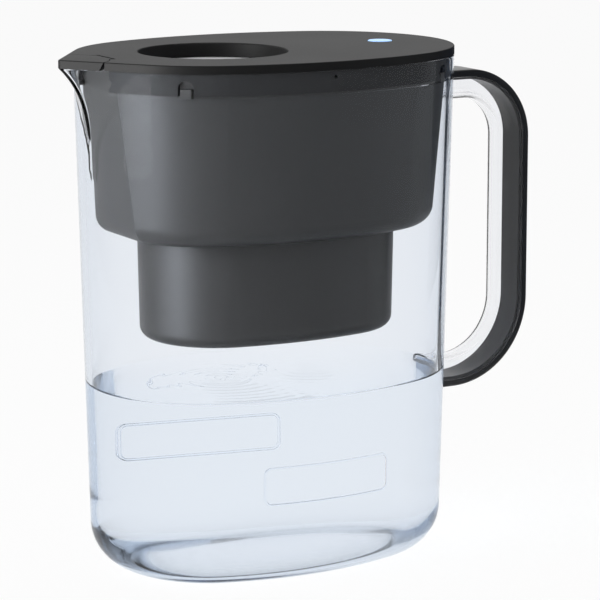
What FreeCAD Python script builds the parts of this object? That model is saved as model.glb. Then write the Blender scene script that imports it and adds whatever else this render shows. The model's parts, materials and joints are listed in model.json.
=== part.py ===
import FreeCAD, Part
import math
import operator
import os
import Sketcher

# Water filter pitcher: a clear oval jug with a spout and a loop handle, a smoked hopper that holds
# a filter cartridge, and a lid with a fill flap, a spout flap and a lit filter indicator.
# Origin on the table under the middle of the jug, +X to the handle, -X to the spout, +Z up.

doc = FreeCAD.newDocument("filter_pitcher")
sheet = doc.addObject("Spreadsheet::Sheet", "Sizes")
vec = FreeCAD.Vector
signs = {"+": operator.add, "-": operator.sub, "*": operator.mul, "/": operator.truediv}


# A size: its number and the sheet formula that gives it
class Dim:
    def __init__(self, value, text):
        self.value = value
        self.text = text

    def __add__(self, other):
        return combine(self, "+", other)

    def __radd__(self, other):
        return combine(other, "+", self)

    def __sub__(self, other):
        return combine(self, "-", other)

    def __rsub__(self, other):
        return combine(other, "-", self)

    def __mul__(self, other):
        return combine(self, "*", other)

    def __rmul__(self, other):
        return combine(other, "*", self)

    def __truediv__(self, other):
        return combine(self, "/", other)

    def __neg__(self):
        return combine(0, "-", self)


def dim(item):
    if isinstance(item, Dim):
        return item
    return Dim(float(item), str(item))


def combine(left, sign, right):
    left = dim(left)
    right = dim(right)
    value = signs[sign](left.value, right.value)
    return Dim(value, "(%s %s %s)" % (left.text, sign, right.text))


# The angle whose tangent is rise over run, and the two sides of a turned length
def slope(rise, run):
    value = math.degrees(math.atan2(rise.value, run.value))
    return Dim(value, "atan(%s / %s)" % (rise.text, run.text))


def cosine(angle):
    return Dim(math.cos(math.radians(angle.value)), "cos(%s * 1 deg)" % angle.text)


def sine(angle):
    return Dim(math.sin(math.radians(angle.value)), "sin(%s * 1 deg)" % angle.text)


def least(first, second):
    return Dim(min(first.value, second.value), "min(%s; %s)" % (first.text, second.text))


rows = []


def size(alias, value):
    rows.append(alias)
    cell = "B%d" % len(rows)
    sheet.set("A%d" % len(rows), alias)
    sheet.set(cell, str(value))
    sheet.setAlias(cell, alias)
    return Dim(float(value), "Sizes." + alias)


# How far pieces that are joined or cut run into each other
lap = size("lap", 1.0)

# Jug outline at the rim: an oval of two end arcs and two side arcs
half_length = size("half_length", 102.0)
half_width = size("half_width", 73.5)
side_crown = size("side_crown", 5.5)
end_radius = half_width - side_crown
rim_height = size("rim_height", 263.6)
base_inset = size("base_inset", 6.4)
base_round = size("base_round", 24.0)
jug_wall = size("jug_wall", 3.4)
rim_wall = size("rim_wall", 2.0)
ledge_drop = size("ledge_drop", 12.2)
floor_thickness = size("floor_thickness", 4.5)
foot_width = size("foot_width", 7.0)
foot_recess = size("foot_recess", 1.2)

# Spout: a flare that grows with the fourth power of the height
spout_reach = size("spout_reach", 14.8)
spout_tip = size("spout_tip", 3.0)
spout_fall = size("spout_fall", 58.0)
spout_sink = size("spout_sink", 0.15)
spout_wall = size("spout_wall", 2.6)

# Handle: a clear channel closed by a dark cover, both swept along one loop
grip_reach = size("grip_reach", 50.0)
grip_drop = size("grip_drop", 16.4)
grip_top = rim_height - grip_drop
grip_low = size("grip_low", 83.8)
top_bend = size("top_bend", 34.2)
low_bend = size("low_bend", 42.2)
grip_width = size("grip_width", 22.0)
channel_depth = size("channel_depth", 12.0)
channel_wall = size("channel_wall", 2.5)
channel_round = size("channel_round", 8.0)
cover_thickness = size("cover_thickness", 3.8)
cover_round = size("cover_round", 1.4)
cover_tongue = size("cover_tongue", 1.5)
cover_gap = size("cover_gap", 0.1)
tongue_gap = size("tongue_gap", 0.3)

# Hopper: a bowl with a straight neck, a pour face on the spout side and a filter socket below
seat_gap = size("seat_gap", 0.1)
lid_plate = size("lid_plate", 4.3)
hopper_inset = size("hopper_inset", 5.0)
hopper_wall = size("hopper_wall", 2.2)
neck_height = size("neck_height", 11.4)
hopper_top_gap = size("hopper_top_gap", 0.3)
bowl_depth = size("bowl_depth", 76.6)
bowl_draw = size("bowl_draw", 6.3)
bowl_round = size("bowl_round", 10.0)
bowl_floor = size("bowl_floor", 2.4)
pour_setback = size("pour_setback", 8.0)
pour_draw = size("pour_draw", 8.3)
lug_width = size("lug_width", 5.0)
lug_height = size("lug_height", 4.6)
lug_angle = size("lug_angle", 35.5)
socket_end_margin = size("socket_end_margin", 32.0)
socket_side_margin = size("socket_side_margin", 29.5)
socket_crown = size("socket_crown", 3.0)
socket_length = half_length - socket_end_margin
socket_width = half_width - socket_side_margin
socket_end = socket_width - socket_crown
socket_depth = size("socket_depth", 54.6)
socket_draw = size("socket_draw", 1.0)
socket_round = size("socket_round", 6.0)
socket_wall = size("socket_wall", 2.0)
socket_floor = size("socket_floor", 2.0)
outlet_radius = size("outlet_radius", 6.1)

# Filter cartridge
cartridge_gap = size("cartridge_gap", 0.8)
cartridge_wall = size("cartridge_wall", 1.6)
cartridge_floor = size("cartridge_floor", 1.8)
cartridge_foot_gap = size("cartridge_foot_gap", 1.4)
flange_width = size("flange_width", 6.0)
flange_thickness = size("flange_thickness", 2.0)
seal_thickness = size("seal_thickness", 1.0)
seal_inset = size("seal_inset", 0.8)
spigot_wall = size("spigot_wall", 2.2)
spigot_gap = size("spigot_gap", 0.5)
spigot_length = size("spigot_length", 2.8)
block_wall_gap = size("block_wall_gap", 3.0)
block_gap = size("block_gap", 8.8)
block_bore = size("block_bore", 10.0)
block_height = size("block_height", 42.0)
cap_lip = size("cap_lip", 0.6)
end_cap_thickness = size("end_cap_thickness", 2.5)
end_cap_hole = size("end_cap_hole", 6.0)
screen_thickness = size("screen_thickness", 0.8)
screen_gap = size("screen_gap", 0.2)
dome_height = size("dome_height", 5.0)
dome_draw = size("dome_draw", 6.0)
dome_wall = size("dome_wall", 1.8)
dome_inset = size("dome_inset", 3.0)
slot_length = size("slot_length", 26.0)
slot_width = size("slot_width", 2.2)
slot_bar_gap = size("slot_bar_gap", 9.0)
slot_margin = size("slot_margin", 12.0)
bar_length = size("bar_length", 30.0)
bar_width = size("bar_width", 7.0)
bar_height = size("bar_height", 8.0)
bar_thickness = size("bar_thickness", 2.4)

# Lid: flush plate with a nose over the spout, a skirt between jug and hopper, and a fill hole
edge_round = size("edge_round", 0.7)
skirt_gap = size("skirt_gap", 0.4)
skirt_wall = size("skirt_wall", 2.2)
skirt_drop = size("skirt_drop", 11.0)
notch_width = size("notch_width", 7.6)
notch_height = size("notch_height", 7.5)
notch_round = size("notch_round", 3.4)
pour_window = size("pour_window", 34.0)
vent_radius = size("vent_radius", 1.0)
vent_drop = size("vent_drop", 3.7)
snap_radius = size("snap_radius", 1.9)
snap_drop = size("snap_drop", 6.9)
fill_margin = size("fill_margin", 33.1)
fill_land = size("fill_land", 60.6)
collar_wall = size("collar_wall", 2.0)
collar_drop = size("collar_drop", 2.9)

# Spout flap: the nose of the lid, cut off along an arc, with a barrel on a pin
flap_inset = size("flap_inset", 10.0)
flap_line = half_length - flap_inset
flap_arc = size("flap_arc", 26.6)
flap_gap = size("flap_gap", 0.5)
flap_undercut = size("flap_undercut", 2.6)
barrel_half = size("barrel_half", 9.6)
barrel_end_gap = size("barrel_end_gap", 1.0)
web_length = size("web_length", 5.3)
barrel_gap = size("barrel_gap", 0.6)
spout_pin_radius = size("spout_pin_radius", 0.75)
spout_pin_grip = size("spout_pin_grip", 3.4)
pin_gap = size("pin_gap", 0.05)

# Fill flap: a disc that closes the collar from below and swings down on a sprung pin
disc_lap = size("disc_lap", 2.0)
disc_gap = size("disc_gap", 0.3)
disc_thickness = size("disc_thickness", 1.8)
disc_rib = size("disc_rib", 1.6)
rib_height = size("rib_height", 2.2)
rib_inset = size("rib_inset", 8.3)
fill_hinge_offset = size("fill_hinge_offset", 3.6)
fill_pin_radius = size("fill_pin_radius", 1.0)
knuckle_radius = size("knuckle_radius", 2.3)
knuckle_start = size("knuckle_start", 8.5)
knuckle_width = size("knuckle_width", 4.5)
lug_side_gap = size("lug_side_gap", 0.5)
hinge_lug_width = size("hinge_lug_width", 3.0)
coil_radius = size("coil_radius", 1.9)
wire_radius = size("wire_radius", 0.35)
coil_pitch = size("coil_pitch", 1.3)
coil_turns = size("coil_turns", 5)
spring_leg = size("spring_leg", 11.0)
leg_gap = size("leg_gap", 0.2)

# Filter indicator: a lit button in the lid over a sealed case with a board and a coin cell
indicator_inset = size("indicator_inset", 33.7)
button_radius = size("button_radius", 6.4)
button_gap = size("button_gap", 0.3)
button_rise = size("button_rise", 0.3)
button_round = size("button_round", 0.5)
button_flange = size("button_flange", 1.5)
button_flange_thickness = size("button_flange_thickness", 1.1)
button_travel = size("button_travel", 0.7)
press_gap = size("press_gap", 0.05)
switch_side = size("switch_side", 6.0)
switch_height = size("switch_height", 2.3)
plunger_radius = size("plunger_radius", 1.7)
plunger_height = size("plunger_height", 0.85)
led_length = size("led_length", 3.2)
led_width = size("led_width", 1.8)
led_height = size("led_height", 1.2)
led_offset = size("led_offset", 5.4)
board_thickness = size("board_thickness", 1.2)
board_gap = size("board_gap", 0.3)
contact_thickness = size("contact_thickness", 0.4)
contact_inset = size("contact_inset", 2.0)
contact_hole = size("contact_hole", 5.0)
cell_radius = size("cell_radius", 10.0)
cell_height = size("cell_height", 3.2)
cell_step = size("cell_step", 1.2)
cell_step_height = size("cell_step_height", 0.5)
cell_room = size("cell_room", 3.2)
case_wall = size("case_wall", 2.0)
case_ledge = size("case_ledge", 2.0)
case_floor = size("case_floor", 1.6)
case_seal_height = size("case_seal_height", 0.6)
seal_margin = size("seal_margin", 0.2)
ear_radius = size("ear_radius", 3.4)
ear_turn = size("ear_turn", 60.0)
ear_height = size("ear_height", 2.0)
ear_drop = size("ear_drop", 5.0)
screw_radius = size("screw_radius", 1.0)
screw_gap = size("screw_gap", 0.15)
screw_head = size("screw_head", 2.2)
screw_head_height = size("screw_head_height", 1.4)
screw_bite = size("screw_bite", 4.2)
boss_radius = size("boss_radius", 2.4)
boss_gap = size("boss_gap", 0.4)
door_clearance = size("door_clearance", 1.2)
door_gap = size("door_gap", 0.3)
door_lap = size("door_lap", 2.4)
door_plate = size("door_plate", 1.4)
door_seal_height = size("door_seal_height", 0.6)
coin_slot_length = size("coin_slot_length", 14.0)
coin_slot_width = size("coin_slot_width", 2.2)
coin_slot_depth = size("coin_slot_depth", 0.8)

doc.recompute()

# Lid layout: the fill hole takes the length between the spout's land and the indicator's
indicator_offset = half_length - indicator_inset
fill_radius = (half_length * 2 - fill_margin - indicator_inset - fill_land) / 2
fill_offset = half_length - fill_margin - fill_radius
rib_radius = fill_radius - rib_inset


# Bodies, sketches and features

def origin_plane(body, role):
    for item in body.Origin.OriginFeatures:
        if item.Role == role:
            return item
    raise ValueError(role)


def new_body(name, x=None, z=None):
    body = doc.addObject("PartDesign::Body", name)
    if x is not None:
        body.setExpression("Placement.Base.x", x.text)
    if z is not None:
        body.setExpression("Placement.Base.z", z.text)
    return body


def new_sketch(body, role, offset=None):
    sketch = body.newObject("Sketcher::SketchObject", body.Name + "_sketch")
    sketch.AttachmentSupport = (origin_plane(body, role), [""])
    sketch.MapMode = "FlatFace"
    if offset is not None:
        sketch.setExpression("AttachmentOffset.Base.z", offset.text)
    return sketch


def constrain(sketch, kind, *where):
    return sketch.addConstraint(Sketcher.Constraint(kind, *where))


def measure(sketch, kind, amount, *where):
    index = sketch.addConstraint(Sketcher.Constraint(kind, *where, amount.value))
    sketch.setExpression("Constraints[%d]" % index, amount.text)


def place_point(sketch, shape, corner, x, y):
    measure(sketch, "DistanceX", dim(x), -1, 1, shape, corner)
    measure(sketch, "DistanceY", dim(y), -1, 1, shape, corner)


def arc(sketch, x, y, radius, start, end):
    circle = Part.Circle(vec(x, y, 0), vec(0, 0, 1), radius)
    return sketch.addGeometry(Part.ArcOfCircle(circle, start, end))


def line(sketch, first, second):
    return sketch.addGeometry(Part.LineSegment(vec(*first, 0), vec(*second, 0)))


def draw_circle(sketch, x, y, radius):
    x = dim(x)
    y = dim(y)
    shape = sketch.addGeometry(Part.Circle(vec(x.value, y.value, 0), vec(0, 0, 1), radius.value))
    place_point(sketch, shape, 3, x, y)
    measure(sketch, "Radius", radius, shape)


def draw_polygon(sketch, points):
    points = [(dim(x), dim(y)) for x, y in points]
    plain = [(x.value, y.value) for x, y in points]
    shapes = [line(sketch, plain[k], plain[(k + 1) % len(plain)]) for k in range(len(plain))]
    for k, shape in enumerate(shapes):
        constrain(sketch, "Coincident", shape, 2, shapes[(k + 1) % len(shapes)], 1)
        place_point(sketch, shape, 1, *points[k])


def draw_box(sketch, x_low, x_high, y_low, y_high):
    draw_polygon(sketch, [(x_low, y_low), (x_high, y_low), (x_high, y_high), (x_low, y_high)])


# A path of level and upright lines in turn, with an arc of the given radius at each rounded corner
def draw_path(sketch, points, radii, closed):
    points = [(dim(x), dim(y)) for x, y in points]
    plain = [vec(x.value, y.value, 0) for x, y in points]
    count = len(points)
    starts = list(plain)
    ends = list(plain)
    for k in range(count):
        if radii[k] is not None:
            before = (plain[k - 1] - plain[k]).normalize()
            after = (plain[(k + 1) % count] - plain[k]).normalize()
            ends[k] = plain[k] + before * radii[k].value
            starts[k] = plain[k] + after * radii[k].value
    runs = count if closed else count - 1
    lines = [sketch.addGeometry(Part.LineSegment(starts[k], ends[(k + 1) % count])) for k in range(runs)]
    for k in range(runs):
        after = (k + 1) % count
        level = abs(plain[after].y - plain[k].y) < abs(plain[after].x - plain[k].x)
        constrain(sketch, "Horizontal" if level else "Vertical", lines[k])
        if level:
            measure(sketch, "DistanceY", points[k][1], -1, 1, lines[k], 1)
        else:
            measure(sketch, "DistanceX", points[k][0], -1, 1, lines[k], 1)
    for k in range(count if closed else count - 1):
        if not closed and k == 0:
            continue
        into = lines[k - 1]
        onward = lines[k]
        if radii[k] is None:
            constrain(sketch, "Coincident", into, 2, onward, 1)
            continue
        reach = radii[k].value
        centre = ends[k] + starts[k] - plain[k]
        first = math.atan2(ends[k].y - centre.y, ends[k].x - centre.x)
        turn = (plain[k] - plain[k - 1]).cross(plain[(k + 1) % count] - plain[k]).z
        quarter = math.pi / 2
        if turn > 0:
            bend = arc(sketch, centre.x, centre.y, reach, first, first + quarter)
            constrain(sketch, "Tangent", into, 2, bend, 1)
            constrain(sketch, "Tangent", bend, 2, onward, 1)
        else:
            bend = arc(sketch, centre.x, centre.y, reach, first - quarter, first)
            constrain(sketch, "Tangent", into, 2, bend, 2)
            constrain(sketch, "Tangent", bend, 1, onward, 1)
        measure(sketch, "Radius", radii[k], bend)
    if not closed:
        measure(sketch, "DistanceX", points[0][0], -1, 1, lines[0], 1)
        measure(sketch, "DistanceX", points[-1][0], -1, 1, lines[-1], 2)


# An oval of two end arcs and two side arcs; insets of one oval share its four centres
class Oval:
    def __init__(self, length, width, end):
        self.length = length
        self.width = width
        self.end = end
        squares = length * length + width * width - 2 * length * end
        self.side = squares / (2 * (width - end))

    def inset(self, gap):
        return Oval(self.length - gap, self.width - gap, self.end - gap)


def oval_arcs(oval):
    centre = oval.length.value - oval.end.value
    drop = oval.side.value - oval.width.value
    return centre, drop, math.atan2(drop, centre)


def draw_oval(sketch, oval):
    centre, drop, turn = oval_arcs(oval)
    full = math.pi
    right = arc(sketch, centre, 0, oval.end.value, -turn, turn)
    back = arc(sketch, 0, -drop, oval.side.value, turn, full - turn)
    left = arc(sketch, -centre, 0, oval.end.value, full - turn, full + turn)
    front = arc(sketch, 0, drop, oval.side.value, full + turn, 2 * full - turn)
    ring = [right, back, left, front]
    for k in range(4):
        constrain(sketch, "Tangent", ring[k], 2, ring[(k + 1) % 4], 1)
    constrain(sketch, "PointOnObject", right, 3, -1)
    constrain(sketch, "PointOnObject", back, 3, -2)
    constrain(sketch, "PointOnObject", front, 3, -2)
    constrain(sketch, "Equal", right, left)
    constrain(sketch, "Equal", back, front)
    measure(sketch, "DistanceX", oval.length - oval.end, -1, 1, right, 3)
    measure(sketch, "Radius", oval.end, right)
    measure(sketch, "Radius", oval.side, back)


# The oval with its spout end drawn out to a rounded tip along two tangents
def draw_teardrop(sketch, oval, reach, tip):
    centre, drop, turn = oval_arcs(oval)
    full = math.pi
    tip_centre = oval.length + reach - tip
    lean = math.acos((oval.end.value - tip.value) / (tip_centre.value - centre))
    end = oval.end.value
    upper = vec(-centre - end * math.cos(lean), end * math.sin(lean), 0)
    nose = vec(-tip_centre.value - tip.value * math.cos(lean), tip.value * math.sin(lean), 0)
    right = arc(sketch, centre, 0, end, -turn, turn)
    back = arc(sketch, 0, -drop, oval.side.value, turn, full - turn)
    left_back = arc(sketch, -centre, 0, end, full - turn, full - lean)
    edge_back = line(sketch, (upper.x, upper.y), (nose.x, nose.y))
    point = arc(sketch, -tip_centre.value, 0, tip.value, full - lean, full + lean)
    edge_front = line(sketch, (nose.x, -nose.y), (upper.x, -upper.y))
    left_front = arc(sketch, -centre, 0, end, full + lean, full + turn)
    front = arc(sketch, 0, drop, oval.side.value, full + turn, 2 * full - turn)
    ring = [right, back, left_back, edge_back, point, edge_front, left_front, front]
    for k in range(len(ring)):
        constrain(sketch, "Tangent", ring[k], 2, ring[(k + 1) % len(ring)], 1)
    constrain(sketch, "PointOnObject", right, 3, -1)
    constrain(sketch, "PointOnObject", left_back, 3, -1)
    constrain(sketch, "PointOnObject", point, 3, -1)
    constrain(sketch, "PointOnObject", back, 3, -2)
    constrain(sketch, "PointOnObject", front, 3, -2)
    constrain(sketch, "Equal", right, left_back)
    constrain(sketch, "Equal", back, front)
    constrain(sketch, "Coincident", left_back, 3, left_front, 3)
    measure(sketch, "DistanceX", oval.length - oval.end, -1, 1, right, 3)
    measure(sketch, "Radius", oval.end, right)
    measure(sketch, "Radius", oval.side, back)
    measure(sketch, "Radius", tip, point)
    measure(sketch, "DistanceX", -tip_centre, -1, 1, point, 3)


# The nose alone: a tip arc, two edges tangent to the tip and to an end circle, and a chord inside
def draw_nose(sketch, centre, end, tip_place, tip):
    lean = math.acos((end.value - tip.value) / (tip_place.value - tip.value - centre.value))
    tip_x = -tip_place.value + tip.value
    foot = (-centre.value - end.value * math.cos(lean), end.value * math.sin(lean))
    nose = (tip_x - tip.value * math.cos(lean), tip.value * math.sin(lean))
    full = math.pi
    point = arc(sketch, tip_x, 0, tip.value, full - lean, full + lean)
    front = line(sketch, (nose[0], -nose[1]), (foot[0], -foot[1]))
    chord = line(sketch, (foot[0], -foot[1]), foot)
    back = line(sketch, foot, nose)
    guide = sketch.addGeometry(Part.Circle(vec(-centre.value, 0, 0), vec(0, 0, 1), end.value), True)
    constrain(sketch, "PointOnObject", guide, 3, -1)
    measure(sketch, "DistanceX", -centre, -1, 1, guide, 3)
    measure(sketch, "Radius", end, guide)
    constrain(sketch, "Tangent", point, 2, front, 1)
    constrain(sketch, "Coincident", front, 2, chord, 1)
    constrain(sketch, "Coincident", chord, 2, back, 1)
    constrain(sketch, "Tangent", back, 2, point, 1)
    constrain(sketch, "PointOnObject", point, 3, -1)
    measure(sketch, "Radius", tip, point)
    measure(sketch, "DistanceX", tip - tip_place, -1, 1, point, 3)
    constrain(sketch, "Tangent", front, 2, guide)
    constrain(sketch, "Tangent", back, 1, guide)


def pad(body, sketch, length, taper=None, down=False, both=False):
    feature = body.newObject("PartDesign::Pad", body.Name + "_pad")
    feature.Profile = sketch
    feature.setExpression("Length", dim(length).text)
    feature.Reversed = down
    if both:
        feature.SideType = "Symmetric"
    if taper is not None:
        feature.setExpression("TaperAngle", taper.text)
    doc.recompute()
    return feature


# A pocket along the sketch's normal, or against it, that has to take material away
def pocket(body, sketch, length, along=False, both=False):
    before = body.Shape.Volume
    feature = body.newObject("PartDesign::Pocket", body.Name + "_pocket")
    feature.Profile = sketch
    feature.setExpression("Length", dim(length).text)
    feature.Reversed = along
    if both:
        feature.SideType = "Symmetric"
    doc.recompute()
    if feature.Shape.Volume >= before:
        raise ValueError("pocket takes nothing from " + body.Name)
    return feature


def loft(body, kind, sketches):
    feature = body.newObject("PartDesign::" + kind, body.Name + "_loft")
    feature.Profile = sketches[0]
    feature.Sections = sketches[1:]
    doc.recompute()
    return feature


def revolve(body, points):
    sketch = new_sketch(body, "XZ_Plane")
    draw_polygon(sketch, points)
    feature = body.newObject("PartDesign::Revolution", body.Name + "_revolve")
    feature.Profile = sketch
    feature.ReferenceAxis = (sketch, ["V_Axis"])
    feature.Angle = 360
    doc.recompute()
    return feature


# Edges whose bounding box lies in the plane z
def level_edges(shape, z, keep=None):
    names = []
    for k, edge in enumerate(shape.Edges):
        box = edge.BoundBox
        level = abs(box.ZMin - z.value) < 0.01 and abs(box.ZMax - z.value) < 0.01
        if level and (keep is None or keep(edge)):
            names.append("Edge%d" % (k + 1))
    if not names:
        raise ValueError("no edge at this height")
    return names


def fillet(body, z, radius, keep=None):
    base = body.Tip
    feature = body.newObject("PartDesign::Fillet", body.Name + "_fillet")
    feature.Base = (base, level_edges(base.Shape, z, keep))
    feature.setExpression("Radius", radius.text)
    doc.recompute()
    return feature


def solid(kind, name, sizes, x=0, y=0, z=0, turn=None):
    item = doc.addObject("Part::" + kind, name)
    if turn is not None:
        item.Placement = FreeCAD.Placement(vec(0, 0, 0), turn)
    for key, amount in sizes.items():
        item.setExpression(key, dim(amount).text)
    for key, amount in (("x", x), ("y", y), ("z", z)):
        item.setExpression("Placement.Base." + key, dim(amount).text)
    return item


along_y = FreeCAD.Rotation(vec(1, 0, 0), -90)
along_x = FreeCAD.Rotation(vec(0, 1, 0), 90)


# A round bar along Y, centred on y = 0
def cross_bar(name, radius, half, x, z):
    return solid("Cylinder", name, {"Radius": radius, "Height": half * 2}, x, -half, z, along_y)


def block(name, length, width, height, x, y, z):
    return solid("Box", name, {"Length": length, "Width": width, "Height": height}, x, y, z)


def cut(name, base, tool):
    item = doc.addObject("Part::Cut", name)
    item.Base = base
    item.Tool = tool
    item.Refine = True
    return item


def fuse(name, shapes):
    item = doc.addObject("Part::MultiFuse", name)
    item.Shapes = shapes
    item.Refine = True
    return item


def common(name, shapes):
    item = doc.addObject("Part::MultiCommon", name)
    item.Shapes = shapes
    item.Refine = True
    return item


nodes = []


def node(item, label):
    doc.recompute()
    item.Label = label
    nodes.append(item)
    return item


# Heights and outlines that several pieces share
rim_oval = Oval(half_length, half_width, end_radius)
draft = slope(base_inset, rim_height)
ledge_z = rim_height - ledge_drop
lid_z = rim_height + seat_gap
lid_top = lid_z + lid_plate
hopper_top = lid_z - hopper_top_gap
neck_z = hopper_top - neck_height
bowl_z = neck_z - bowl_depth
bowl_floor_z = bowl_z + bowl_floor
socket_z = bowl_z - socket_depth
socket_floor_z = socket_z + socket_floor
centre_x = half_length - end_radius


# Jug: drafted outer wall with a round base edge and a flared spout
def spout_levels(inward):
    levels = []
    for step in range(5):
        share = dim(step) / 4
        grow = share * share * share * share
        z = rim_height - spout_fall + spout_fall * share
        narrow = base_inset * (rim_height - z) / rim_height
        levels.append((z, narrow, spout_reach * grow, inward))
    return levels


def spout_sketches(body, inward):
    sketches = []
    for z, narrow, reach, wall in spout_levels(inward):
        sketch = new_sketch(body, "XY_Plane", z)
        end = end_radius - narrow - spout_sink - wall
        place = half_length - narrow - spout_sink / 2 + reach - wall
        draw_nose(sketch, centre_x, end, place, spout_tip)
        sketches.append(sketch)
    return sketches


def jug_shell(name):
    body = new_body(name)
    sketch = new_sketch(body, "XY_Plane")
    draw_oval(sketch, rim_oval.inset(base_inset))
    pad(body, sketch, rim_height, draft)
    fillet(body, dim(0), base_round)
    return body


jug_form = jug_shell("jug_form")
jug_outer = jug_shell("jug_outer")
loft(jug_outer, "AdditiveLoft", spout_sketches(jug_outer, dim(0)))
foot = new_sketch(jug_outer, "XY_Plane")
draw_oval(foot, rim_oval.inset(base_inset + base_round + foot_width))
pocket(jug_outer, foot, foot_recess, along=True)

jug_inner = new_body("jug_inner")
sketch = new_sketch(jug_inner, "XY_Plane", floor_thickness)
floor_inset = base_inset * (rim_height - floor_thickness) / rim_height + jug_wall
draw_oval(sketch, rim_oval.inset(floor_inset))
pad(jug_inner, sketch, rim_height - floor_thickness + lap, draft)
fillet(jug_inner, floor_thickness, base_round - jug_wall)
sketch = new_sketch(jug_inner, "XY_Plane", ledge_z)
draw_oval(sketch, rim_oval.inset(rim_wall))
pad(jug_inner, sketch, ledge_drop + lap)
loft(jug_inner, "AdditiveLoft", spout_sketches(jug_inner, spout_wall))
jug = node(cut("jug", jug_outer, jug_inner), "jug")

# Handle: both pieces follow one loop of straight runs and bends, and end on the jug's wall
grip_x = half_length + grip_reach
grip_half = grip_width / 2


def sweep_handle(name, points, radii):
    body = new_body(name)
    profile = new_sketch(body, "YZ_Plane", centre_x)
    draw_path(profile, points, radii, True)
    spine = new_sketch(body, "XZ_Plane")
    corners = [(centre_x, grip_top), (grip_x, grip_top), (grip_x, grip_low), (centre_x, grip_low)]
    draw_path(spine, corners, [None, top_bend, low_bend, None], False)
    feature = body.newObject("PartDesign::AdditivePipe", name + "_sweep")
    feature.Profile = profile
    feature.Spine = spine
    doc.recompute()
    return body


side = grip_half - channel_wall
low = grip_top - channel_depth
inner_low = low + channel_wall
inner_round = channel_round - channel_wall
channel_points = [(-grip_half, grip_top), (-grip_half, low), (grip_half, low), (grip_half, grip_top)]
channel_points += [(side, grip_top), (side, inner_low), (-side, inner_low), (-side, grip_top)]
channel_radii = [None, channel_round, channel_round, None, None, inner_round, inner_round, None]
channel_form = sweep_handle("channel_form", channel_points, channel_radii)
handle_channel = node(cut("handle_channel", channel_form, jug_form), "handle_channel")

seat = grip_top + cover_gap
crown = grip_top + cover_thickness
tongue = side - tongue_gap
tongue_low = seat - cover_tongue
cover_points = [(-grip_half, seat), (-grip_half, crown), (grip_half, crown), (grip_half, seat)]
cover_points += [(tongue, seat), (tongue, tongue_low), (-tongue, tongue_low), (-tongue, seat)]
cover_radii = [None, cover_round, cover_round, None, None, None, None, None]
cover_form = sweep_handle("cover_form", cover_points, cover_radii)
handle_cover = node(cut("handle_cover", cover_form, jug_form), "handle_cover")

# Hopper: drafted bowl under a straight neck, flattened to a pour face, with the filter socket below
socket_oval = Oval(socket_length, socket_width, socket_end)
cup_skin = socket_wall + cartridge_gap
cup_loss = cup_skin + cartridge_wall + socket_draw + block_wall_gap
end_cap_radius = least((socket_length - cup_loss - block_gap / 2) / 2, socket_width - cup_loss)
block_radius = end_cap_radius - cap_lip
outlet_offset = end_cap_radius + block_gap / 2
bowl_taper = slope(bowl_draw, bowl_depth)
socket_taper = slope(-socket_draw, socket_depth)


# The space outside the pour face: a straight leaning face, upright at the neck, round at the floor
def draw_pour(sketch, face_low, face_top, floor_z, top_z, edge):
    outside = -half_length - lap
    lean = vec(face_top.value - face_low.value, neck_z.value - bowl_z.value, 0).normalize()
    out = vec(-lean.y, lean.x, 0)
    rise = floor_z.value + edge.value
    middle = face_low.value - (edge.value + (rise - bowl_z.value) * out.y) / out.x
    touch = vec(middle, rise, 0) + out * edge.value
    guide = sketch.addGeometry(Part.LineSegment(vec(face_low.value, bowl_z.value, 0),
                                                vec(face_top.value, neck_z.value, 0)), True)
    floor = line(sketch, (outside.value, floor_z.value), (middle, floor_z.value))
    bend = arc(sketch, middle, rise, edge.value, math.atan2(out.y, out.x), -math.pi / 2)
    face = line(sketch, (touch.x, touch.y), (face_top.value, neck_z.value))
    neck = line(sketch, (face_top.value, neck_z.value), (face_top.value, top_z.value))
    top = line(sketch, (face_top.value, top_z.value), (outside.value, top_z.value))
    left = line(sketch, (outside.value, top_z.value), (outside.value, floor_z.value))
    place_point(sketch, guide, 1, face_low, bowl_z)
    place_point(sketch, guide, 2, face_top, neck_z)
    place_point(sketch, floor, 1, outside, floor_z)
    constrain(sketch, "Horizontal", floor)
    constrain(sketch, "Tangent", floor, 2, bend, 2)
    constrain(sketch, "Tangent", bend, 1, face, 1)
    measure(sketch, "Radius", edge, bend)
    constrain(sketch, "Coincident", face, 2, guide, 2)
    constrain(sketch, "PointOnObject", face, 1, guide)
    constrain(sketch, "Coincident", neck, 1, face, 2)
    constrain(sketch, "Coincident", neck, 2, top, 1)
    place_point(sketch, top, 1, face_top, top_z)
    constrain(sketch, "Coincident", top, 2, left, 1)
    place_point(sketch, left, 1, outside, top_z)
    constrain(sketch, "Coincident", left, 2, floor, 1)


def hopper_form(name, wall, floor_z, neck_end, edge, socket_low, socket_edge, socket_skin):
    body = new_body(name)
    deep = bowl_draw * (neck_z - floor_z) / bowl_depth
    sketch = new_sketch(body, "XY_Plane", floor_z)
    draw_oval(sketch, rim_oval.inset(hopper_inset + deep + wall))
    pad(body, sketch, neck_z - floor_z, bowl_taper)
    fillet(body, floor_z, edge)
    sketch = new_sketch(body, "XY_Plane", neck_z)
    draw_oval(sketch, rim_oval.inset(hopper_inset + wall))
    pad(body, sketch, neck_end - neck_z)
    face_top = pour_setback + wall - half_length
    sketch = new_sketch(body, "XZ_Plane")
    draw_pour(sketch, face_top + pour_draw, face_top, floor_z, neck_end + lap, edge)
    pocket(body, sketch, half_width * 2, both=True)
    start = floor_z + lap
    sketch = new_sketch(body, "XY_Plane", start)
    draw_oval(sketch, socket_oval.inset(socket_skin))
    pad(body, sketch, start - socket_low, socket_taper, down=True)
    fillet(body, socket_low, socket_edge)
    return body


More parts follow.
